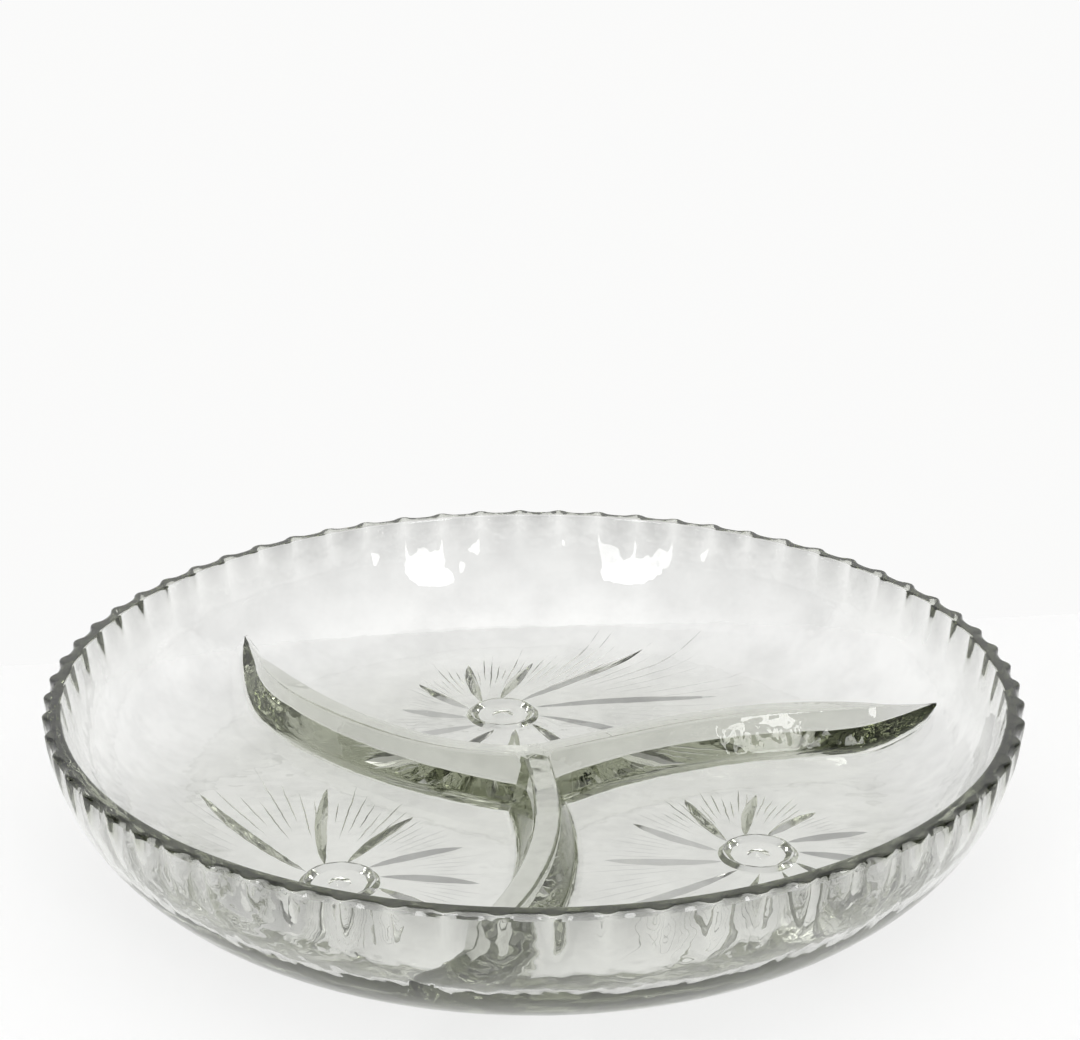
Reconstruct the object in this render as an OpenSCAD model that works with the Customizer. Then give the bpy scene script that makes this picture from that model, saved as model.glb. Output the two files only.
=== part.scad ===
// Round pressed-glass relish tray with three compartments.
// The tray is one pressing. It is split here along its own forms into solids that meet face
// to face: a floor, a curved wall, a fluted rim, three curved dividers that meet on the
// axis, and the round hob at the middle of each whirling star under the floor.
// The origin is on the table, on the tray's axis. +Z is up, and -Y is the front.

/* [Tray] */
// Diameter over the flute ridges
tray_d = 260; // [230:1:290]
// Height from the table to the rim
tray_h = 47; // [43:0.5:50]
// Radius of the outside bend from the floor up to the wall
outer_bend_r = 50.4; // [48:0.2:54]
// Radius of the inside bend from the floor up to the wall
inner_bend_r = 30; // [29:0.5:32]
// Lean of the inside of the wall above that bend, in degrees from upright
inner_lean = 10; // [8:0.5:12]
// Thickness of the floor
floor_t = 11.5; // [10:0.5:13]

/* [Rim] */
// Width of the flat land on top of the rim, at a ridge
rim_land_w = 5; // [4.4:0.1:6]
// Size of the small bevel along both edges of the land
rim_bevel = 0.5; // [0.3:0.1:0.8]
// Height of the band that holds the flutes
flute_band_h = 19; // [17:0.5:21]
// Number of flutes round the rim
flute_count = 66; // [60:2:72]
// Depth of a flute below its ridges, at the rim
flute_depth = 1.1; // [0.8:0.1:1.4]
// Height of a flute from the rim down to where it runs out in the wall
flute_h = 16; // [14:0.5:16.5]
// Width of the ridge left between two flutes, at the rim
ridge_w = 1.6; // [1.2:0.1:2.2]

/* [Dividers] */
// Radius of each divider's curve, seen from above
divider_bend_r = 130; // [115:1:150]
// Direction in which the right divider leaves the axis
divider_heading = 44; // [38:1:48]
// Distance from the rim to the end of a divider's nose
nose_inset = 12; // [10:0.5:14]
// Height of a divider above the floor
divider_h = 12; // [9:0.5:15]
// Extra height where the dividers join
hub_rise = 3; // [1:0.5:5]
// Length over which the extra height runs out
hub_rise_l = 40; // [30:1:60]
// Width of a divider across its top
crown_w = 6.3; // [5:0.1:7.5]
// Width of a divider where it meets the floor, without its fillets
foot_w = 15; // [13:0.5:17]
// Rounding of the top edges
crown_round = 0.9; // [0.5:0.1:1.4]
// Size of the fillets along the floor
foot_fillet = 1.8; // [1:0.1:2.5]
// Length over which the foot narrows towards the end of the nose
nose_l = 34; // [28:1:40]
// Distance from the end of the nose back to the end of the flat top
crown_end_l = 15; // [11:1:19]
// Length over which the flat top narrows towards its end
crown_taper_l = 34; // [28:1:40]

/* [Whirling stars] */
// Gap between a star's hob and the edge of the tray's flat foot
hob_edge_gap = 6; // [4:0.5:9]
// Direction of the back star from the axis
star_heading = 98.2; // [92:0.2:104]
// Diameter of the round hob at the middle of a star
hob_d = 19.5; // [17:0.5:22]
// Height of the hob inside the floor
hob_t = 3; // [2:0.5:4]
// Width of the bevel round the hob's face
hob_bevel = 1.4; // [0.8:0.1:2]
// Depth of the small dimple in the middle of the hob
dimple_depth = 1.2; // [0.6:0.1:1.8]
// Gap between the hob and the inner ends of the blades
blade_gap = 1.6; // [1:0.1:3]
// Depth of a blade's groove at its middle
blade_depth = 2.7; // [2.1:0.1:3.2]
// Angle between the two faces of a groove
blade_v_angle = 64; // [56:1:76]
// Turn of a blade away from the straight radial line
blade_swirl = 18; // [10:1:26]

/* [Hidden] */

// Cuts run past the glass by this much
overrun = 5;
glass_clear = [0.80, 0.86, 0.83, 0.45];
glass_rim = [0.55, 0.62, 0.58, 0.6];

rim_r = tray_d / 2;
// Centres of the two bends, in the plane of the profile
outer_bend_z = outer_bend_r;
foot_r = rim_r - sqrt(pow(outer_bend_r, 2) - pow(outer_bend_z - tray_h, 2));
inner_bend_z = floor_t + inner_bend_r;
// The inside bend ends at this height, and a straight leaning wall goes on to the rim
lean_z = inner_bend_z - inner_bend_r * sin(inner_lean);
floor_r = rim_r - rim_land_w - (tray_h - lean_z) * tan(inner_lean)
    - inner_bend_r * cos(inner_lean);
flute_band_z = tray_h - flute_band_h;

// A flute is cut by a slice of a long round bar, whose radius gives the wanted depth between
// two ridges. The bar leans with the wall, so that it runs out at the flute's lower end.
flute_pitch = 2 * PI * rim_r / flute_count;
flute_w = flute_pitch - ridge_w;
flute_slice_w = flute_pitch - ridge_w / 2;
flute_r = (pow(flute_w / 2, 2) + pow(flute_depth, 2)) / (2 * flute_depth);
flute_end_r = foot_r + sqrt(pow(outer_bend_r, 2) - pow(outer_bend_z - tray_h + flute_h, 2));
flute_lean = atan((rim_r - flute_depth - flute_end_r) / flute_h);
// A ridge stands at this angle, just left of the middle of the back
ridge_heading = 92;

// A divider's centre line is an arc that starts on the axis, and its far end keeps
// the nose's distance from the rim
divider_l = 2 * divider_bend_r * asin((rim_r - nose_inset) / (2 * divider_bend_r)) * PI / 180;
arm_turns = [0, 120, 240];
// A star's centre keeps its hob inside the flat foot
star_r = foot_r - hob_edge_gap - hob_d / 2;
bend_steps = 12;
sweep_steps = 24;
corner_steps = 3;
// The flat top and the foot narrow to these shares of their widths
crown_end_share = 0.12;
foot_end_share = 0.2;

// Blades of a star, clockwise from the one that points back towards the left,
// as shares of the tray's radius: the long ones sweep along the wall
blade_reach_shares = [0.28, 0.27, 0.23, 0.25, 0.265, 0.275, 0.45, 0.5, 0.42, 0.315, 0.285];
blade_count = len(blade_reach_shares);
// Direction of the first blade, from the line that runs outward from the tray's axis
first_blade = 141;
hob_facets = 12;
// A blade's groove has this many parts along its length, and one more past each end,
// where it lies below the glass
blade_steps = 8;
// A blade's cutter goes on below the glass by this share of its depth
blade_skirt_share = 0.4;

// Height of the underside at a distance from the axis
function underside_z(r) =
    r <= foot_r ? 0 : outer_bend_z - sqrt(max(0, pow(outer_bend_r, 2) - pow(r - foot_r, 2)));

// Direction into the glass at a point of the underside
function inwards(p) =
    let (r = norm(p),
         lean = asin(min(1, max(0, r - foot_r) / outer_bend_r)))
    [-sin(lean) * p.x / r, -sin(lean) * p.y / r, cos(lean)];

// Points of a bend's arc, from one height up to another
function bend(centre, radius, low, high) =
    let (first = acos((centre.y - low) / radius),
         last = acos((centre.y - high) / radius))
    [for (i = [0 : bend_steps])
        let (a = first + (last - first) * i / bend_steps)
        centre + radius * [sin(a), -cos(a)]];
function outer_bend(low, high) = bend([foot_r, outer_bend_z], outer_bend_r, low, high);
function inner_r(z) = rim_r - rim_land_w - (tray_h - z) * tan(inner_lean);
function inner_bend(low, high) =
    concat(bend([floor_r, inner_bend_z], inner_bend_r, low, min(high, lean_z)),
           high > lean_z ? [[inner_r(high), high]] : []);
function reversed(list) = [for (i = [len(list) - 1 : -1 : 0]) list[i]];

// Points that round off a corner between two neighbours
function rounded(before, corner, after) =
    [for (i = [0 : corner_steps])
        let (t = i / corner_steps)
        pow(1 - t, 2) * before + 2 * t * (1 - t) * corner + pow(t, 2) * after];

// Half of a divider's cross-section, from the crown's edge to the end of its fillet.
// x goes sideways, y goes up from the floor.
function half_section(h, crown_share, foot_share) =
    let (crown = crown_w / 2 * crown_share,
         foot = foot_w / 2 * foot_share,
         side = [foot - crown, -h] / norm([foot - crown, -h]),
         round_top = crown_round * crown_share,
         round_foot = foot_fillet * foot_share,
         top = [crown, h],
         base = [foot, 0])
    concat(rounded(top - [round_top, 0], top, top + side * round_top),
           rounded(base - side * round_foot, base, base + [round_foot, 0]));

// Share of the full width that falls to nothing in a round end
function taper(s, end, length) =
    let (run = min(1, max(0, s - end + length) / length))
    sqrt(1 - pow(run, 2));

// The divider's height, direction and centre line at a distance from the axis
function arm_height(s) =
    divider_h + hub_rise * pow(max(0, 1 - max(0, s) / hub_rise_l), 2);
function arm_angle(s) = divider_heading - s / divider_bend_r * 180 / PI;
function arm_point(s) =
    divider_bend_r * [sin(divider_heading) - sin(arm_angle(s)),
                      cos(arm_angle(s)) - cos(divider_heading)];

// One ring of the sweep: the right half from foot to crown, then the left half, then the base
function arm_ring(s) =
    let (crown_share = max(crown_end_share, taper(s, divider_l - crown_end_l, crown_taper_l)),
         foot_share = max(foot_end_share, taper(s, divider_l, nose_l)),
         half = half_section(arm_height(s), crown_share, foot_share),
         sideways = [sin(arm_angle(s)), -cos(arm_angle(s))],
         middle = arm_point(s),
         last = len(half) - 1,
         flat_ring = concat([for (i = [last : -1 : 0]) [half[i].x, half[i].y]],
                            [for (i = [0 : last]) [-half[i].x, half[i].y]],
                            [[-half[last].x, -overrun], [half[last].x, -overrun]]))
    [for (p = flat_ring)
        [middle.x + sideways.x * p.x, middle.y + sideways.y * p.x, floor_t + p.y]];

// The sweep starts behind the axis, so that the mitre cuts its whole section
module arm_sweep() {
    start = -foot_w;
    steps = sweep_steps;
    rings = [for (i = [0 : steps]) arm_ring(start + (divider_l - start) * i / steps)];
    n = len(rings[0]);
    points = [for (ring = rings) each ring];
    faces = concat(
        [[for (j = [n - 1 : -1 : 0]) j]],
        [for (i = [0 : steps - 1], j = [0 : n - 1])
            let (k = (j + 1) % n)
            [i * n + j, i * n + k, (i + 1) * n + j]],
        [for (i = [0 : steps - 1], j = [0 : n - 1])
            let (k = (j + 1) % n)
            [i * n + k, (i + 1) * n + k, (i + 1) * n + j]],
        [[for (j = [0 : n - 1]) steps * n + j]]);
    polyhedron(points, faces, convexity = 4);
}

// The space inside the bowl, above the floor
module cavity() {
    rotate_extrude($fn = 180)
        polygon(concat([[0, floor_t]], inner_bend(floor_t, tray_h), [[0, tray_h]]));
}

// One cross-section of a blade's groove: its two edges below the glass, and its ridge inside.
// The ridge rises to full depth in the blade's middle and runs out at both ends.
function blade_ring(root, tip, share) =
    let (p = root + (tip - root) * share,
         along = (tip - root) / norm(tip - root),
         into = inwards(p),
         across = cross(into, [along.x, along.y, 0]),
         base = [p.x, p.y, underside_z(norm(p))],
         ridge = 4 * blade_depth * share * (1 - share),
         skirt = blade_skirt_share * blade_depth,
         half_w = (ridge + skirt) * tan(blade_v_angle / 2))
    [base - into * skirt - across / norm(across) * half_w,
     base + into * ridge,
     base - into * skirt + across / norm(across) * half_w];

// One blade: a leaf-shaped groove with two sloping faces that meet in a sharp ridge. It
// follows the underside, from the flat foot up into the outside bend.
module blade_cut(root, tip) {
    last = blade_steps + 2;
    shares = [for (i = [0 : last]) (i - 1) / blade_steps];
    points = [for (share = shares) each blade_ring(root, tip, share)];
    faces = concat(
        [[2, 1, 0]],
        [for (i = [0 : last - 1], j = [0 : 2])
            let (k = (j + 1) % 3)
            [3 * i + j, 3 * i + k, 3 * i + j + 3]],
        [for (i = [0 : last - 1], j = [0 : 2])
            let (k = (j + 1) % 3)
            [3 * i + k, 3 * i + k + 3, 3 * i + j + 3]],
        [[3 * last, 3 * last + 1, 3 * last + 2]]);
    polyhedron(points, faces, convexity = 2);
}

function star_turn(k) = star_heading + arm_turns[k];
function star_centre(k) = star_r * [cos(star_turn(k)), sin(star_turn(k))];
// The tip points in the blade's direction, and the root is swirled round the hob
function blade_tip(k, i) =
    let (a = star_turn(k) + first_blade - i * 360 / blade_count)
    star_centre(k) + rim_r * blade_reach_shares[i] * [cos(a), sin(a)];
function blade_root(k, i) =
    let (a = star_turn(k) + first_blade - i * 360 / blade_count + blade_swirl)
    star_centre(k) + (hob_d / 2 + blade_gap) * [cos(a), sin(a)];

// The blades whose tips reach at least this far from the axis
module star_blades(reach) {
    for (k = [0 : len(arm_turns) - 1], i = [0 : blade_count - 1])
        if (norm(blade_tip(k, i)) > reach)
            blade_cut(blade_root(k, i), blade_tip(k, i));
}

module hob_blank(k) {
    translate([star_centre(k).x, star_centre(k).y, 0])
        cylinder(d = hob_d, h = hob_t, $fn = 72);
}

module floor_plate() {
    color(glass_clear)
        difference() {
            cylinder(r = foot_r, h = floor_t, $fn = 180);
            star_blades(0);
            for (k = [0 : len(arm_turns) - 1])
                translate([star_centre(k).x, star_centre(k).y, -overrun])
                    cylinder(d = hob_d, h = hob_t + overrun, $fn = 72);
        }
}

module bowl_wall() {
    color(glass_clear)
        difference() {
            rotate_extrude($fn = 180)
                polygon(concat(outer_bend(0, flute_band_z),
                               reversed(inner_bend(floor_t, flute_band_z)),
                               [[foot_r, floor_t]]));
            star_blades(foot_r);
        }
}

module flutes() {
    for (i = [0 : flute_count - 1])
        rotate([0, 0, ridge_heading + (i + 0.5) * 360 / flute_count])
            translate([rim_r - flute_depth, 0, tray_h])
                rotate([0, flute_lean, 0])
                    intersection() {
                        translate([flute_r, 0, -2 * flute_band_h])
                            cylinder(r = flute_r, h = 3 * flute_band_h, $fn = 60);
                        translate([-overrun, -flute_slice_w / 2, -flute_band_h])
                            cube([2 * overrun, flute_slice_w, 2 * flute_band_h]);
                    }
}

module fluted_rim() {
    land_end = rim_r - rim_land_w;
    color(glass_rim)
        difference() {
            rotate_extrude($fn = 180)
                polygon(concat(outer_bend(flute_band_z, tray_h - rim_bevel),
                               [[rim_r - rim_bevel, tray_h], [land_end + rim_bevel, tray_h]],
                               reversed(inner_bend(flute_band_z, tray_h - rim_bevel))));
            flutes();
        }
}

// The third of the tray that belongs to one divider: two mitre faces through the axis
module third(turn) {
    linear_extrude(height = 2 * tray_h)
        polygon([[0, 0],
                 for (side = [-60, 0, 60])
                     tray_d * [cos(turn + divider_heading + side),
                               sin(turn + divider_heading + side)]]);
}

module divider(turn) {
    color(glass_clear)
        intersection() {
            rotate([0, 0, turn])
                arm_sweep();
            third(turn);
            cavity();
        }
}

// The face of the hob is bevelled all round with small facets, and dimpled in the middle
module star_hob(k) {
    centre = star_centre(k);
    facet_step = 360 / hob_facets;
    color(glass_rim)
        difference() {
            hob_blank(k);
            translate([centre.x, centre.y, 0])
                for (i = [0 : hob_facets - 1])
                    rotate([0, 0, star_turn(k) + i * facet_step])
                        translate([hob_d / 2 - hob_bevel, 0, 0])
                            rotate([0, -45, 0])
                                translate([0, -hob_d / 2, -2 * hob_t])
                                    cube([hob_d, hob_d, 2 * hob_t]);
            translate([centre.x, centre.y, -overrun])
                cylinder(r1 = 2 * overrun + dimple_depth, r2 = 0, h = overrun + dimple_depth,
                         $fn = 48);
        }
}

floor_plate();
bowl_wall();
fluted_rim();
divider(arm_turns[0]);  // divider_right
divider(arm_turns[1]);  // divider_left
divider(arm_turns[2]);  // divider_front
star_hob(0);  // star_hob_back
star_hob(1);  // star_hob_left
star_hob(2);  // star_hob_right
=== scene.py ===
# %% [markdown]
# # A pressed-glass relish tray
# This lesson dresses a CAD model of a round glass tray with three compartments. Glass shows
# every form twice, once at each surface, so most of the work is in the shape: flutes round
# the rim, curved dividers, and whirling stars cut in the underside. The material is short.

# %% Load the CAD frame
import math
import bmesh
import bpy
from mathutils import Matrix, Vector


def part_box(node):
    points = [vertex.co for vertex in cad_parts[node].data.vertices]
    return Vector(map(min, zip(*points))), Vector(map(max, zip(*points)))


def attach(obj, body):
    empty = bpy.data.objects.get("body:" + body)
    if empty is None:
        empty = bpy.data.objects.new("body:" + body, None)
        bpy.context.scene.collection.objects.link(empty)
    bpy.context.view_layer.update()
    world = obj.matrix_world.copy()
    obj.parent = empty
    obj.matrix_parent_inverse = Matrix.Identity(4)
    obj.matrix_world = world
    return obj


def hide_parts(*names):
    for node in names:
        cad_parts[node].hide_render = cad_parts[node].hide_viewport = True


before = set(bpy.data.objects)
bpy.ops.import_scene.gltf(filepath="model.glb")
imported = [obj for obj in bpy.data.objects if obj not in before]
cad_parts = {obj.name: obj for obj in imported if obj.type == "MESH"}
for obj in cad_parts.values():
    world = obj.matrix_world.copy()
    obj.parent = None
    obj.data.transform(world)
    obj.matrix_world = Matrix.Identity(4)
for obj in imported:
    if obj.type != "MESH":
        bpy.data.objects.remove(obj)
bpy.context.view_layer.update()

# %% [markdown]
# ## Sizes
# The real tray is one pressing of glass, so all its forms share the same few sizes. The CAD
# boxes give them, and the rest are named here once. Blender's unit is the metre, but such
# small forms are easier to think of, and safer to cut, in millimetres: everything is
# modelled in millimetres and scaled down in the mesh at the end.

# %% Sizes of the tray
MM = 0.001
foot_low, foot_high = [[v / MM for v in corner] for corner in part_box("floor_plate")]
rim_low, rim_high = [[v / MM for v in corner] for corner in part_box("fluted_rim")]
foot_r = (foot_high[0] - foot_low[0]) / 2
rim_r = min(rim_high[0] - rim_low[0], rim_high[1] - rim_low[1]) / 2
tray_h = rim_high[2]
floor_t = foot_high[2]
outer_bend_r = ((rim_r - foot_r) ** 2 + tray_h ** 2) / (2 * tray_h)
inner_bend_r = 30.0
inner_lean = math.radians(10)
land_w = 5.0
lean_z = floor_t + inner_bend_r * (1 - math.sin(inner_lean))
lean_r = rim_r - land_w - (tray_h - lean_z) * math.tan(inner_lean)
floor_r = lean_r - inner_bend_r * math.cos(inner_lean)
print(f"rim radius {rim_r:.2f}, foot radius {foot_r:.2f}, outside bend {outer_bend_r:.2f} mm")


# %% [markdown]
# ## The bowl
# The wall is a body of revolution: one bend outside, one inside that ends in a straight
# wall leaning outwards, so that the plunger of the press can leave it, and a flat land.
# A lathe shape like this could be a curve with a Screw modifier, but bmesh's spin gives real
# vertices that the flutes can move afterwards. The number of steps is a multiple of the
# flute count, so that every flute gets the same columns of vertices.

# %% Heights of both surfaces, and two kinds of curve
def underside_z(r):
    if r <= foot_r:
        return 0.0
    return outer_bend_r - math.sqrt(outer_bend_r ** 2 - (r - foot_r) ** 2)


def inside_z(r):
    if r <= floor_r:
        return floor_t
    if r >= lean_r:
        return lean_z + (r - lean_r) / math.tan(inner_lean)
    return floor_t + inner_bend_r - math.sqrt(inner_bend_r ** 2 - (r - floor_r) ** 2)


def bend_points(centre_r, radius, low, high, centre_z, steps):
    """Points (distance, height) along a bend, from one height up to another."""
    first = math.acos((centre_z - low) / radius)
    last = math.acos((centre_z - high) / radius)
    turns = [first + (last - first) * i / steps for i in range(steps + 1)]
    return [(centre_r + radius * math.sin(a), centre_z - radius * math.cos(a)) for a in turns]


def rounded_corner(before, corner, after, steps):
    """Points that round off a corner between its two neighbours."""
    points = []
    for i in range(steps + 1):
        t = i / steps
        a, b, c = (1 - t) ** 2, 2 * t * (1 - t), t ** 2
        points.append(tuple(a * p + b * q + c * s for p, q, s in zip(before, corner, after)))
    return points


# %% Profile of the wall
rim_round = 0.6
rim_round_out = 0.9
flute_h = 16.0
lens_h = 1.7
scoop_z = tray_h - flute_h
lens_z = tray_h - lens_h
edge_z = tray_h - rim_round_out
plain_steps, scoop_steps, lens_steps = 18, 9, 3
inner_steps, lean_steps = 20, 4
outer_edge_steps, inner_edge_steps = 5, 4

outside = bend_points(foot_r, outer_bend_r, 0, scoop_z, outer_bend_r, plain_steps)
outside += bend_points(foot_r, outer_bend_r, scoop_z, lens_z, outer_bend_r, scoop_steps)[1:]
outside += bend_points(foot_r, outer_bend_r, lens_z, edge_z, outer_bend_r, lens_steps)[1:]
inside = bend_points(floor_r, inner_bend_r, floor_t, lean_z, floor_t + inner_bend_r, inner_steps)
for i in range(1, lean_steps + 1):
    lean_up = (tray_h - rim_round - lean_z) * i / lean_steps
    inside_height = lean_z + lean_up
    inside.append((lean_r + (inside_height - lean_z) * math.tan(inner_lean), inside_height))
outer_top = (rim_r - rim_round_out, tray_h)
inner_top = (rim_r - land_w, tray_h)
outer_edge = rounded_corner(outside[-1], (rim_r, tray_h), outer_top, outer_edge_steps)
inner_edge = rounded_corner((inner_top[0] + rim_round, tray_h), inner_top, inside[-1],
                            inner_edge_steps)
profile = outside[:-1] + outer_edge + inner_edge + inside[-2::-1]
print("profile points:", len(profile))

# %% Spin the profile
flute_count = 66
columns_per_flute = 12


def spun(points, steps):
    """A closed body of revolution round Z from a profile of (distance, height) points."""
    bm = bmesh.new()
    line = [bm.verts.new((r, 0, z)) for r, z in points]
    edges = [bm.edges.new(pair) for pair in zip(line, line[1:])]
    bmesh.ops.spin(bm, geom=line + edges, cent=(0, 0, 0), axis=(0, 0, 1),
                   angle=2 * math.pi, steps=steps, use_merge=True)
    rims = [e for e in bm.edges if e.is_boundary]
    bmesh.ops.edgeloop_fill(bm, edges=rims)
    bmesh.ops.recalc_face_normals(bm, faces=bm.faces)
    return bm


def faults(bm):
    """Edges without exactly two faces, and the signed volume."""
    return len([e for e in bm.edges if not e.is_manifold]), round(bm.calc_volume(), 1)


bowl = spun(profile, flute_count * columns_per_flute)
print("bowl faults and volume:", faults(bowl))
print("bowl:", len(bowl.verts), "vertices,", len([f for f in bowl.faces if len(f.verts) > 4]),
      "flat discs")

# %% [markdown]
# ## The flutes
# The rim carries 66 shallow scoops with a narrow ridge between each two, and they fade out
# softly down the wall. Cutting them with 66 tools would leave hard lower ends. The spin left
# 12 columns to each flute, so it is simpler to move the outside vertices inwards by a rule:
# how deep across the flute, times how much of the flute is left at this height. At the very
# top each scoop turns in more steeply, which leaves a small lens-shaped facet under the land.

# %% Rule for the flutes
ridge_heading = math.radians(92)
flute_depth = 1.05
flute_fade_power = 1.2
flute_ridge_share = 0.04
lens_depth = 0.9
lens_start, lens_span = 0.25, 0.6


def smooth_step(t):
    t = min(1.0, max(0.0, t))
    return t * t * (3 - 2 * t)


def flute_shares(heading, height):
    """How much of the scoop and of the lens facet there is at a place on the outside."""
    phase = ((heading - ridge_heading) * flute_count / (2 * math.pi)) % 1.0
    across = min(1.0, abs(2 * phase - 1) / (1 - flute_ridge_share))
    scoop = 1 - across ** 2
    fade = max(0.0, (height - scoop_z) / flute_h)
    lens = smooth_step((scoop - lens_start) / lens_span) * max(0.0, (height - lens_z) / lens_h)
    return scoop * fade ** flute_fade_power, lens


def flute_dip(heading, height):
    """How far a place on the outside moves inwards."""
    scoop, lens = flute_shares(heading, height)
    return flute_depth * scoop + lens_depth * lens


# %% Move the outside vertices into flutes
outside_limit = rim_r - land_w / 2
wall_near = 0.01
top_near = 0.001
moved = 0
for vertex in bowl.verts:
    x, y, z = vertex.co
    r = math.hypot(x, y)
    wall_r = foot_r + math.sqrt(max(0, outer_bend_r ** 2 - (outer_bend_r - z) ** 2))
    if z > scoop_z and (r > outside_limit or wall_r - r < wall_near):
        share = 1.0
        if z > tray_h - top_near:
            share = smooth_step((r - outside_limit) / (outer_top[0] - outside_limit))
        dip = flute_dip(math.atan2(y, x), z) * share
        vertex.co.x = x * (r - dip) / r
        vertex.co.y = y * (r - dip) / r
        moved += 1
print("vertices moved into flutes:", moved)

# %% [markdown]
# ## The dividers
# Three solid ribs run from the middle of the tray and curl clockwise into the wall, where
# each ends in a pointed nose. Their section is a tall wedge with rounded top edges and a
# fillet along the floor. The rib is extruded step by step: each step copies the end face,
# and the copy is set to the section that belongs to that place on the arc.

# %% Sizes of a divider
divider_bend_r = 130.0
divider_heading = math.radians(43.5)
divider_h = 12.0
hub_rise = 3.0
hub_rise_l = 40.0
hub_back_l = 4.6
crown_w = 6.3
crown_round = 1.0
crown_round_limit = 0.4
crown_end_l = 15.0
crown_taper_l = 34.0
crown_end_share = 0.1
foot_w = 15.0
foot_fillet = 2.4
foot_fillet_limit = 0.45
foot_end_share = 0.06
foot_taper_power = 1.4
below_floor = 1.6
crown_steps, fillet_steps = 4, 5
nose_l = 34.0
nose_over = 0.2
nose_rise = 1.3
nose_rise_l = 18.0
nose_sink = 0.15
nose_end_z = floor_t + divider_h + nose_rise - nose_sink
nose_end_r = floor_r + math.sqrt(inner_bend_r ** 2 - (floor_t + inner_bend_r - nose_end_z) ** 2)
divider_l = 2 * divider_bend_r * math.asin(nose_end_r / (2 * divider_bend_r))
print("divider length along its arc:", round(divider_l, 1), "mm")


# %% Section of a divider at a place on its arc
def taper(s, end, length):
    """A share of the full width that falls to nothing in a round end."""
    run = min(1.0, max(0.0, s - (end - length)) / length)
    return math.sqrt(1 - run ** 2)


def divider_section(s, height):
    """Half of the section at a distance along the arc: (sideways, up from the glass)."""
    share = max(crown_end_share, taper(s, divider_l - crown_end_l, crown_taper_l))
    foot_taper = taper(s, divider_l + nose_over, nose_l) ** foot_taper_power
    top = Vector((crown_w / 2 * share, height))
    base = Vector((foot_w / 2 * max(foot_end_share, foot_taper), 0))
    side = (base - top).normalized()
    fillet = min(foot_fillet, height * foot_fillet_limit)
    edge = min(crown_round * share, height * crown_round_limit)
    crown = rounded_corner(top - Vector((edge, 0)), top, top + side * edge, crown_steps)
    foot = rounded_corner(base - side * fillet, base, base + Vector((fillet, 0)), fillet_steps)
    return crown + foot


def divider_ring(s):
    """The whole closed section at a distance along the arc, in place in the tray."""
    heading = divider_heading - s / divider_bend_r
    middle = divider_bend_r * Vector((math.sin(divider_heading) - math.sin(heading),
                                      math.cos(heading) - math.cos(divider_heading), 0))
    sideways = Vector((math.sin(heading), -math.cos(heading), 0))
    top_z = floor_t + divider_h + hub_rise * max(0.0, 1 - abs(s) / hub_rise_l) ** 2
    top_z += nose_rise * max(0.0, 1 - (divider_l - s) / nose_rise_l) ** 2
    height = top_z - inside_z(middle.length)
    half = divider_section(s, height)
    loop = [(x, z) for x, z in reversed(half)] + [(-x, z) for x, z in half]
    ring = []
    for x, z in loop:
        p = middle + sideways * x
        glass_z = inside_z(p.length)
        p.z = glass_z + z / height * (top_z - glass_z)
        ring.append(p)
    for x in (-half[-1][0], half[-1][0]):
        p = middle + sideways * x
        p.z = inside_z(p.length) - below_floor
        ring.append(p)
    return ring


# %% Sweep a list of sections
def swept(rings):
    """A closed solid through a list of rings, made by extruding its end face."""
    bm = bmesh.new()
    first = bm.faces.new([bm.verts.new(p) for p in rings[0]])
    ring = list(first.verts)
    cap = first
    for places in rings[1:]:
        result = bmesh.ops.extrude_face_region(bm, geom=[cap])
        if cap is not first:
            bmesh.ops.delete(bm, geom=[cap], context="FACES_ONLY")
        fresh = [v for v in result["geom"] if isinstance(v, bmesh.types.BMVert)]
        cap = [f for f in result["geom"] if isinstance(f, bmesh.types.BMFace)][0]
        here = {tuple(v.co): v for v in fresh}
        ring = [here[tuple(v.co)] for v in ring]
        for vertex, place in zip(ring, places):
            vertex.co = place
    bmesh.ops.recalc_face_normals(bm, faces=bm.faces)
    return bm


# %% Three dividers
divider_steps = 44
arm_turns = [0.0, math.radians(120), math.radians(240)]
stations = [-hub_back_l + (divider_l + hub_back_l) * i / divider_steps
            for i in range(divider_steps + 1)]
divider_rings = [divider_ring(s) for s in stations]
dividers = []
for turn in arm_turns:
    bm = swept(divider_rings)
    bmesh.ops.rotate(bm, verts=bm.verts, cent=(0, 0, 0), matrix=Matrix.Rotation(turn, 3, "Z"))
    dividers.append(bm)
    print("divider faults and volume:", faults(bm))

# %% [markdown]
# ## The whirling stars
# Under each compartment a star is pressed in the underside: a round faceted hob, eleven
# leaf-shaped blades whose roots are swirled round it, and fans of fine rays between them.
# Each blade is a groove with a V section that starts shallow, deepens and runs out again,
# and it follows the underside up into the wall. The cutters are swept as the dividers are.
# The rays start and end at a few different places in turn, which keeps a fan from looking
# like a comb.

# %% Sizes of a star
hob_d = 19.5
hob_edge_gap = 6.0
star_r = foot_r - hob_edge_gap - hob_d / 2
star_heading = math.radians(98.2)
first_blade = math.radians(141)
blade_reach_shares = [0.28, 0.27, 0.23, 0.25, 0.265, 0.275, 0.45, 0.5, 0.42, 0.315, 0.285]
blade_count = len(blade_reach_shares)
blade_gap = 0.9
blade_swirl = math.radians(18)
blade_bow_share = 0.06
blade_depth = 2.7
blade_half_angle = math.radians(32)
blade_steps = 12
leaf_fullness = 0.75
skirt_share = 0.4
ray_depth = 0.24
ray_half_angle = math.radians(34)
ray_steps = 4
rays_per_gap = 7
ray_start, ray_start_step, ray_starts = 0.34, 0.1, 3
ray_end, ray_end_step, ray_ends = 0.84, 0.09, 4


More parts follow.
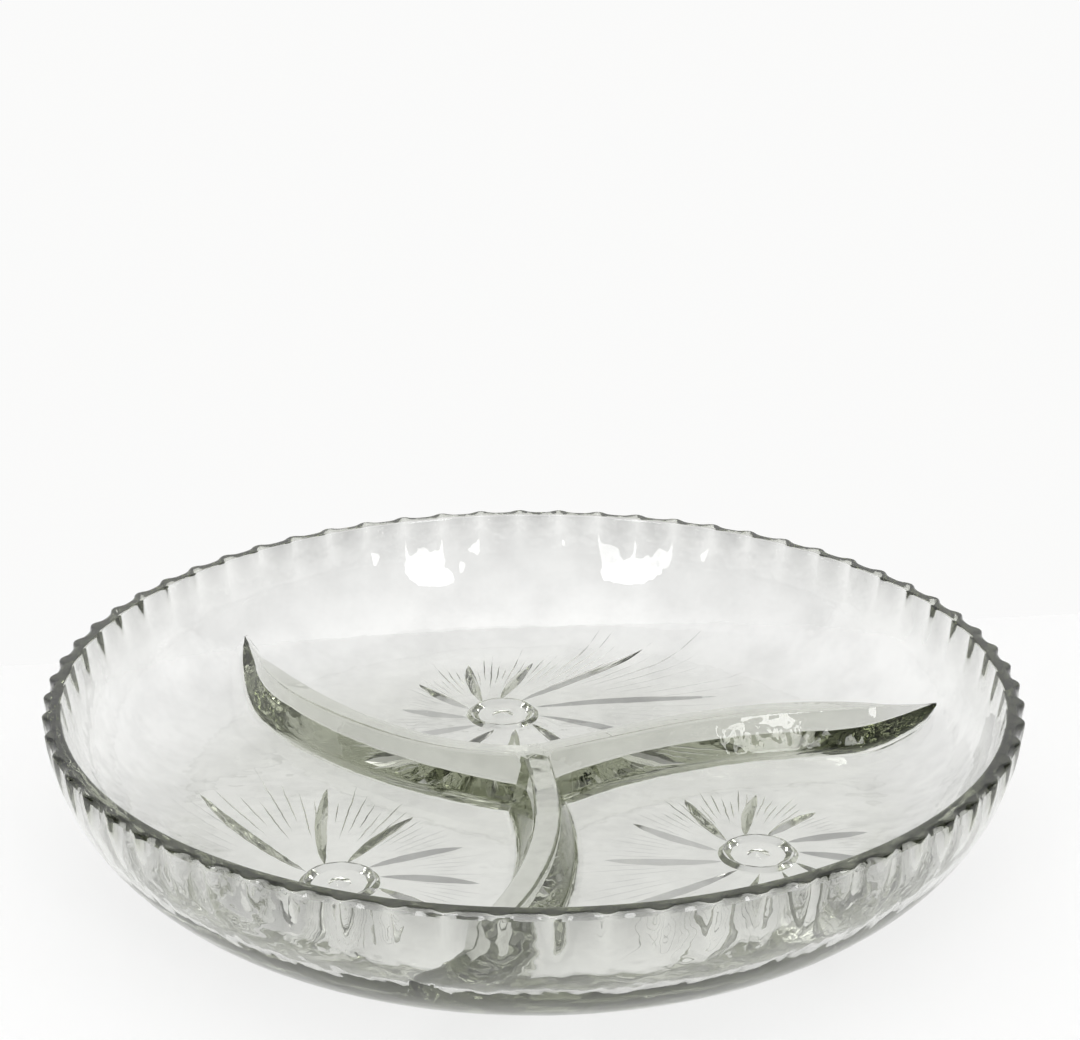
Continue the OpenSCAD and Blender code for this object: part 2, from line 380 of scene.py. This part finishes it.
# %% Grooves that follow the underside
def inwards(p):
    """Direction into the glass at a place on the underside."""
    r = p.length
    lean = math.asin(min(1.0, max(0.0, r - foot_r) / outer_bend_r))
    return Vector((-math.sin(lean) * p.x / r, -math.sin(lean) * p.y / r, math.cos(lean)))


def groove_rings(root, bow, tip, depth, half_angle, steps):
    """Triangular sections of a leaf-shaped groove along a bowed line on the underside."""
    skirt = skirt_share * depth
    rings = []
    for i in range(-1, steps + 2):
        t = i / steps
        p = root * (1 - t) ** 2 + bow * 2 * t * (1 - t) + tip * t ** 2
        along = (bow - root) * (1 - t) + (tip - bow) * t
        into = inwards(p)
        across = into.cross(Vector((along.x, along.y, 0))).normalized()
        base = Vector((p.x, p.y, underside_z(p.length)))
        ridge = depth * max(0.0, 4 * t * (1 - t)) ** leaf_fullness
        half_w = (ridge + skirt) * math.tan(half_angle)
        rings.append([base - into * skirt - across * half_w,
                      base + into * ridge,
                      base - into * skirt + across * half_w])
    return rings


def reach_of(i):
    """Length of a blade, or between two blades for a number that isn't whole."""
    blade = int(i)
    reach = rim_r * blade_reach_shares[blade % blade_count]
    if i == blade:
        return reach
    after = blade_reach_shares[(blade + 1) % blade_count]
    part = i - blade
    return reach * (1 - part) + rim_r * after * part


def blade_line(centre, star_turn, i):
    """Root, bow and tip of a star's blade, as places on the table plane."""
    heading = star_turn + first_blade - i * (2 * math.pi / blade_count)
    swirled = heading + blade_swirl
    tip = centre + reach_of(i) * Vector((math.cos(heading), math.sin(heading), 0))
    root = centre + (hob_d / 2 + blade_gap) * Vector((math.cos(swirled), math.sin(swirled), 0))
    middle = (root + tip) / 2
    side = (tip - root).cross(Vector((0, 0, 1))).normalized()
    bow = middle - side * (tip - root).length * blade_bow_share
    return root, bow, tip


# %% Cutters for the blades and rays of three stars
star_centres = []
cutters = []
for turn in arm_turns:
    heading = star_heading + turn
    centre = star_r * Vector((math.cos(heading), math.sin(heading), 0))
    star_centres.append(centre)
    for i in range(blade_count):
        blade = blade_line(centre, heading, i)
        cutters.append(swept(groove_rings(*blade, blade_depth, blade_half_angle, blade_steps)))
        for k in range(rays_per_gap):
            part = (k + 1) / (rays_per_gap + 1)
            root, _, tip = blade_line(centre, heading, i + part)
            inner_end = ray_start + ray_start_step * ((k + i) % ray_starts)
            outer_end = ray_end + ray_end_step * ((3 * k + 2 * i) % ray_ends)
            start = root * (1 - inner_end) + tip * inner_end
            end = root * (1 - outer_end) + tip * outer_end
            ray = (start, (start + end) / 2, end)
            cutters.append(swept(groove_rings(*ray, ray_depth, ray_half_angle, ray_steps)))
checks = [faults(cutter) for cutter in cutters]
print("blade and ray cutters:", len(cutters), "with faults:",
      len([1 for open_edges, volume in checks if open_edges or volume <= 0]))


# %% [markdown]
# ## The hobs
# The middle of each star is a round button like a cut stone: a ring-shaped groove with a
# smooth outer side and twelve flat facets on its inner side, and a small faceted dimple in
# the middle. The cutter is a shallow dish with a faceted stub left standing in it.

# %% Cones and cuts
def cone(segments, low_r, high_r, low, high, centre, turn=0.0):
    bm = bmesh.new()
    bmesh.ops.create_cone(bm, cap_ends=True, segments=segments, radius1=low_r, radius2=high_r,
                          depth=high - low)
    bmesh.ops.rotate(bm, verts=bm.verts, cent=(0, 0, 0), matrix=Matrix.Rotation(turn, 3, "Z"))
    bmesh.ops.translate(bm, verts=bm.verts, vec=centre + Vector((0, 0, (low + high) / 2)))
    return bm


def as_object(name, bm):
    mesh = bpy.data.meshes.new(name)
    bm.to_mesh(mesh)
    bm.free()
    return bpy.data.objects.new(name, mesh)


def combined(base, tools, operation):
    """The base joined with, or cut by, many tools at once."""
    group = bpy.data.collections.new("tools")
    bpy.context.scene.collection.children.link(group)
    for tool in tools:
        group.objects.link(tool)
    bpy.context.scene.collection.objects.link(base)
    modifier = base.modifiers.new("combine", "BOOLEAN")
    modifier.solver = "MANIFOLD"
    modifier.operand_type = "COLLECTION"
    modifier.collection = group
    modifier.operation = operation
    view = bpy.context.evaluated_depsgraph_get()
    mesh = bpy.data.meshes.new_from_object(base.evaluated_get(view))
    name = base.name
    for old in list(tools) + [base]:
        bpy.data.meshes.remove(old.data)
    bpy.data.collections.remove(group)
    mesh.name = name
    return bpy.data.objects.new(name, mesh)


# %% Hob cutters
hob_facets = 12
hob_groove_depth = 2.9
hob_out = 0.9
hob_table_r = 7.4
below_table = 1.0
dish_sides = 64
dish_in = 0.3
stub_in = 0.6
stub_over = 0.5
dimple_sides = 8
dimple_r = 4.6
dimple_depth = 2.2
dimple_turn = 0.2
sharp_r = 0.01

dish_slope = hob_out / hob_groove_depth
dish_low_r = hob_d / 2 + dish_slope * (hob_groove_depth + below_table)
stub_slope = (hob_d / 2 - stub_in - hob_table_r) / hob_groove_depth
stub_low_r = hob_table_r - stub_slope * 2 * below_table
stub_high_r = hob_d / 2 - stub_in + stub_slope * stub_over
for centre, turn in zip(star_centres, arm_turns):
    dish = cone(dish_sides, dish_low_r, hob_d / 2 - dish_in, -below_table, hob_groove_depth,
                centre)
    stub = cone(hob_facets, stub_low_r, stub_high_r, -2 * below_table,
                hob_groove_depth + stub_over, centre, turn)
    dish_piece = combined(as_object("dish", dish), [as_object("stub", stub)], "DIFFERENCE")
    ring = bmesh.new()
    ring.from_mesh(dish_piece.data)
    cutters.append(ring)
    cutters.append(cone(dimple_sides, dimple_r, sharp_r, -below_table, dimple_depth, centre,
                        turn + dimple_turn))
print("cutters in all:", len(cutters))

# %% [markdown]
# ## One skin of glass
# A real pressing has no seams, and a wall left inside clear glass would show. So the bowl
# and the dividers are joined into one closed skin, and all the grooves are cut from it at
# once. The Manifold solver is quick and keeps the skin closed. Sharp edges stay sharp by
# their angle, and weighted normals keep the flat faces flat beside small rounded ones.

# %% Join and cut the pressing
dividers = [as_object("divider", bm) for bm in dividers]
tray = combined(as_object("tray_glass", bowl), dividers, "UNION")
print("joined:", len(tray.data.polygons), "faces")
tools = [as_object("cutter", bm) for bm in cutters]
tray = combined(tray, tools, "DIFFERENCE")
print("cut:", len(tray.data.polygons), "faces")

# %% Finish the mesh
weld = 0.002
sharp_angle = math.radians(28)
bm = bmesh.new()
bm.from_mesh(tray.data)
bmesh.ops.remove_doubles(bm, verts=bm.verts, dist=weld)
bmesh.ops.dissolve_degenerate(bm, edges=bm.edges, dist=weld)
bmesh.ops.scale(bm, vec=(MM, MM, MM), verts=bm.verts)
open_edges = [e for e in bm.edges if not e.is_manifold]
volume_ml = bm.calc_volume() * 1e6
triangles = sum(len(f.verts) - 2 for f in bm.faces)
bm.to_mesh(tray.data)
bm.free()
bpy.context.scene.collection.objects.link(tray)
for polygon in tray.data.polygons:
    polygon.use_smooth = True
tray.data.set_sharp_from_angle(angle=sharp_angle)
weighted = tray.modifiers.new("even_normals", "WEIGHTED_NORMAL")
weighted.keep_sharp = True
weighted.weight = 60
print("open edges:", len(open_edges), " volume:", round(volume_ml, 1), "ml  triangles:",
      triangles)

# %% [markdown]
# ## Painted shade on the cuts
# In the photograph the scoops and the blades look greyer than the fire-polished glass round
# them, and one side of a blade greyer than the other. That grey is shade that the glass shows
# there, and here it is painted into the colour. A share from 0 to 1 at each face corner says
# how much of a cut surface it is and how much painted shade it gets. The material turns that
# share into a faint painted grey shade and a slight roughness.

# %% Share of painted shade on the cut surfaces at a place
skin_depth = 0.06
shallow_depth = 0.2
groove_depth_limit = 3.2
flute_depth_limit = 2.4
# Painted shade: the cut surfaces are greyed in the colour for the dark that the glass shows
# there, more on one side of a blade than the other.
hob_painted_shade = 0.15
shallow_painted_shade = 0.4
more_shaded_side_share, less_shaded_side_share = 1.0, 0.65
scoop_painted_shade, lens_painted_shade = 0.75, 0.65


def depth_inside(r, z):
    """Distance into the glass from the outside of the plain bowl."""
    if r <= foot_r:
        return z
    return outer_bend_r - math.hypot(r - foot_r, outer_bend_r - z)


def groove_painted_shade(centre, normal):
    """The side of a blade that faces round its star one way gets more painted shade than the
    other.
    """
    depth = depth_inside(math.hypot(centre.x, centre.y), centre.z)
    if centre.z > scoop_z or not skin_depth < depth < groove_depth_limit:
        return 0.0
    from_star = min((Vector((centre.x, centre.y, 0)) - star for star in star_centres),
                    key=lambda offset: offset.length)
    if from_star.length < hob_d / 2 + hob_out:
        return hob_painted_shade
    if depth < shallow_depth:
        return shallow_painted_shade
    return more_shaded_side_share if from_star.cross(normal).z > 0 else less_shaded_side_share


# Painted shade on the scoops and on their lens facets.
def scoop_shade_share(place):
    r = math.hypot(place.x, place.y)
    if place.z < scoop_z or depth_inside(r, place.z) > flute_depth_limit:
        return 0.0
    scoop, lens = flute_shares(math.atan2(place.y, place.x), place.z)
    return scoop_painted_shade * scoop + lens_painted_shade * lens


# %% Share of painted shade and roughness at each corner
mesh = tray.data
scoop_shade_at_vertex = [scoop_shade_share(vertex.co / MM) for vertex in mesh.vertices]
cut_shade_shares = []
for polygon in mesh.polygons:
    groove_shade = groove_painted_shade(polygon.center / MM, polygon.normal)
    for corner in polygon.vertices:
        cut_shade_shares.append(max(groove_shade, scoop_shade_at_vertex[corner]))
# The cut attribute carries the painted shade and the roughness of the cut surfaces.
cut = mesh.attributes.new("cut", "FLOAT", "CORNER")
cut.data.foreach_set("value", cut_shade_shares)
print("corners on cut surfaces:", len([share for share in cut_shade_shares if share > 0]))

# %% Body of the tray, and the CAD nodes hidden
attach(tray, "root")
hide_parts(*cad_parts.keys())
print("one skin replaces", len(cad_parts), "CAD nodes")


# %% [markdown]
# ## The glass
# Clear soda glass bends light by an index of about 1.52, and its faint grey-green comes from
# the depth that light crosses, so the colour belongs in the volume and not on the surface.
# A pressed surface is never quite flat: a weak, broad Bump gives the soft waves, and faint
# clouds in the surface colour stand for the smears that the photograph shows.

# %% Shader helpers
class Wire:
    """Wraps a socket, so that shader maths reads like ordinary arithmetic."""

    def __init__(self, maker, socket):
        self.maker = maker
        self.socket = socket

    def _maths(self, operation, first, second):
        return self.maker.make("ShaderNodeMath", {"operation": operation},
                               {0: first, 1: second})

    def __add__(self, other):
        return self._maths("ADD", self, other)

    __radd__ = __add__

    def __sub__(self, other):
        return self._maths("SUBTRACT", self, other)

    def __rsub__(self, other):
        return self._maths("SUBTRACT", other, self)

    def __mul__(self, other):
        return self._maths("MULTIPLY", self, other)

    __rmul__ = __mul__

    def most(self, other):
        return self._maths("MAXIMUM", self, other)


class Nodes:
    """Makes the nodes of one material or world."""

    def __init__(self, tree):
        self.tree = tree
        tree.nodes.clear()

    def make(self, kind, settings=None, inputs=None, output=0):
        node = self.tree.nodes.new(kind)
        for name, value in (settings or {}).items():
            setattr(node, name, value)
        for name, value in (inputs or {}).items():
            if isinstance(value, Wire):
                self.tree.links.new(value.socket, node.inputs[name])
            else:
                node.inputs[name].default_value = value
        if len(node.outputs) == 0:
            return node
        return Wire(self, node.outputs[output])


def noise(nodes, place, scale, detail, roughness):
    return nodes.make("ShaderNodeTexNoise", {}, {"Vector": place, "Scale": scale,
                                                 "Detail": detail, "Roughness": roughness})


# %% Values of the glass
glass_ior = 1.52
glass_tint = (0.60, 0.62, 0.52, 1)
glass_density = 28.0
wave_scale, wave_share = 38.0, 0.7
ripple_scale, ripple_share = 170.0, 0.3
bump_strength = 0.6
bump_height = 0.0008
cloud_scale = 55.0
cloud_start = 0.42
cloud_grey = 0.45
# Painted shade: how far the cut share greys the colour of the glass.
cut_painted_shade = 0.68
cut_roughness = 0.09
darkest = 0.05

# %% Glass material
glass = bpy.data.materials.new("clear_glass")
glass.use_nodes = True
nodes = Nodes(glass.node_tree)
place = nodes.make("ShaderNodeTexCoord", output="Object")
waves = noise(nodes, place, wave_scale, 2.0, 0.45)
ripples = noise(nodes, place, ripple_scale, 1.0, 0.4)
height = waves * wave_share + ripples * ripple_share
bump = nodes.make("ShaderNodeBump", {},
                  {"Strength": bump_strength, "Distance": bump_height, "Height": height})
smudge = (noise(nodes, place, cloud_scale, 4.0, 0.6) - cloud_start).most(0.0)
cut = nodes.make("ShaderNodeAttribute", {"attribute_name": "cut"}, output="Fac")
# The colour is greyed by painted shade on the cuts and by clouds for the smears.
body = nodes.make("ShaderNodeBsdfPrincipled", {},
                  {"Base Color": (1 - cut_painted_shade * cut - cloud_grey * smudge).most(darkest),
                   "Roughness": cut_roughness * cut, "IOR": glass_ior,
                   "Transmission Weight": 1.0, "Normal": bump})
depth_tint = nodes.make("ShaderNodeVolumeAbsorption", {},
                        {"Color": glass_tint, "Density": glass_density})
nodes.make("ShaderNodeOutputMaterial", {}, {"Surface": body, "Volume": depth_tint})
tray.data.materials.clear()
tray.data.materials.append(glass)
print("glass: IOR", glass_ior, "tint", glass_tint[:3])

# %% [markdown]
# ## Table, wall and light
# The photograph shows the tray on a pale table, close in front of a pale wall that stands a
# little askew. Glass only shows what is round it, so the room matters as much as the glass:
# the wall and the table are white, and the room on the camera's side is dimmer, which draws
# the dark lines. Two tall soft lamps leave the two blurred marks inside the back wall.
# Light Path tells rays of sight from the room's own light, so that the table and the wall
# look white without throwing more light on the tray. From behind, the wall is clear.

# %% Values of the sheets
table_drop = 0.0003
wall_gap = 0.137
wall_skew = 0.125
reach = 3.0
pale = (0.93, 0.93, 0.93, 1)
paper_white = (1, 1, 0.995, 1)
sheet_roughness = 0.7
sheet_shine = 0.2
table_share = 0.7
table_glow = 1.0
wall_glow = 0.96


# %% Sheets that look white
def flat_sheet(name, corners):
    bm = bmesh.new()
    bm.faces.new([bm.verts.new(p) for p in corners])
    sheet = as_object(name, bm)
    bpy.context.scene.collection.objects.link(sheet)
    paint = bpy.data.materials.new(name)
    paint.use_nodes = True
    nodes = Nodes(paint.node_tree)
    coat = nodes.make("ShaderNodeBsdfPrincipled", {},
                      {"Base Color": pale, "Roughness": sheet_roughness,
                       "Specular IOR Level": sheet_shine})
    sheet.data.materials.append(paint)
    return nodes, coat


def seen_directly(nodes):
    """1 for rays of sight, also through or off the glass, and 0 for the room's own light."""
    kinds = ["Is Camera Ray", "Is Glossy Ray", "Is Transmission Ray"]
    parts = [nodes.make("ShaderNodeLightPath", output=kind) for kind in kinds]
    return parts[0].most(parts[1].most(parts[2]))


def whitened(nodes, coat, share, glow):
    """The coat mixed with an even white that only rays of sight meet."""
    paper = nodes.make("ShaderNodeEmission", {}, {"Color": paper_white, "Strength": glow})
    return nodes.make("ShaderNodeMixShader", {}, {0: share, 1: coat, 2: paper})


# %% Table
table_corners = [(-reach, -reach, -table_drop), (reach, -reach, -table_drop),
                 (reach, reach, -table_drop), (-reach, reach, -table_drop)]
nodes, coat = flat_sheet("table", table_corners)
table = whitened(nodes, coat, table_share * seen_directly(nodes), table_glow)
nodes.make("ShaderNodeOutputMaterial", {}, {"Surface": table})

# %% Wall
left_y = wall_gap - wall_skew * reach
right_y = wall_gap + wall_skew * reach
wall_corners = [(-reach, left_y, -table_drop), (reach, right_y, -table_drop),
                (reach, right_y, reach), (-reach, left_y, reach)]
nodes, coat = flat_sheet("wall", wall_corners)
front = whitened(nodes, coat, seen_directly(nodes), wall_glow)
clear = nodes.make("ShaderNodeBsdfTransparent")
behind = nodes.make("ShaderNodeNewGeometry", output="Backfacing")
both = nodes.make("ShaderNodeMixShader", {}, {0: behind, 1: front, 2: clear})
nodes.make("ShaderNodeOutputMaterial", {}, {"Surface": both})
print("table and wall reach", reach, "m to each side")

# %% World
room_light = 0.06
ceiling_light = 2.2
world = bpy.data.worlds.new("pale_room")
bpy.context.scene.world = world
world.use_nodes = True
nodes = Nodes(world.node_tree)
sight = nodes.make("ShaderNodeLightPath", output="Is Camera Ray")
direction = nodes.make("ShaderNodeTexCoord", output="Generated")
upwards = nodes.make("ShaderNodeSeparateXYZ", {}, {"Vector": direction}, "Z").most(0.0)
room = room_light + ceiling_light * upwards * upwards * upwards
sky = nodes.make("ShaderNodeBackground", {},
                 {"Color": (1, 1, 1, 1), "Strength": sight + (1 - sight) * room})
nodes.make("ShaderNodeOutputWorld", {}, {"Surface": sky})

# %% Lamps
lamp_distance = 3.2
lamp_w, lamp_tall = 0.7, 1.7
lamp_power = 22


def lamp(name, heading, elevation):
    """A tall soft lamp that faces the tray, from a heading and an elevation in degrees."""
    a, e = math.radians(heading), math.radians(elevation)
    place = Vector((lamp_distance * math.cos(e) * math.cos(a),
                    lamp_distance * math.cos(e) * math.sin(a),
                    lamp_distance * math.sin(e)))
    data = bpy.data.lights.new(name, "AREA")
    data.shape = "ELLIPSE"
    data.size = lamp_w
    data.size_y = lamp_tall
    data.energy = lamp_power
    piece = bpy.data.objects.new(name, data)
    bpy.context.scene.collection.objects.link(piece)
    piece.location = place
    piece.rotation_euler = (-place).to_track_quat("-Z", "Y").to_euler()


lamp("lamp_right", -61.6, 22)
lamp("lamp_left", -117, 20)

# %% [markdown]
# ## Camera
# The camera was fitted to the flute ridges of the photograph: it stands 0.74 m away, 24
# degrees up, with a long lens. Its turn is built from the same few angles, in radians, and
# its distance was fitted in radii of the rim.

# %% Place and turn of the camera
photo_w = 1080
focal_px = 2753.8
camera_distance = 5.6739
camera_elevation = 0.4203
camera_pitch = 0.0579
camera_yaw = 0.0022
camera_roll = -0.0009
fitted_rim_r = 0.13
spot = Vector((0, -math.cos(camera_elevation), math.sin(camera_elevation))) * camera_distance
forward = -spot.normalized()
right = forward.cross(Vector((0, 0, 1))).normalized()
up = right.cross(forward)
pitch = Matrix.Rotation(camera_pitch, 3, right)
forward, up = pitch @ forward, pitch @ up
yaw = Matrix.Rotation(-camera_yaw, 3, up)
forward, right = yaw @ forward, yaw @ right
roll = Matrix.Rotation(camera_roll, 3, forward)
right, up = roll @ right, roll @ up
stand = spot * fitted_rim_r + Vector((0, 0, tray_h * MM))

# %% Camera
data = bpy.data.cameras.new("camera")
data.sensor_fit = "HORIZONTAL"
data.sensor_width = 36
data.lens = focal_px / photo_w * data.sensor_width
data.clip_start = 0.01
camera = bpy.data.objects.new("camera", data)
scene = bpy.context.scene
scene.collection.objects.link(camera)
camera.matrix_world = Matrix(((right.x, up.x, -forward.x, stand.x),
                              (right.y, up.y, -forward.y, stand.y),
                              (right.z, up.z, -forward.z, stand.z),
                              (0, 0, 0, 1)))
scene.camera = camera
scene.cycles.max_bounces = 32
scene.cycles.glossy_bounces = 24
scene.cycles.transmission_bounces = 32
scene.view_settings.view_transform = "Standard"
print("lens:", round(data.lens, 1), "mm")
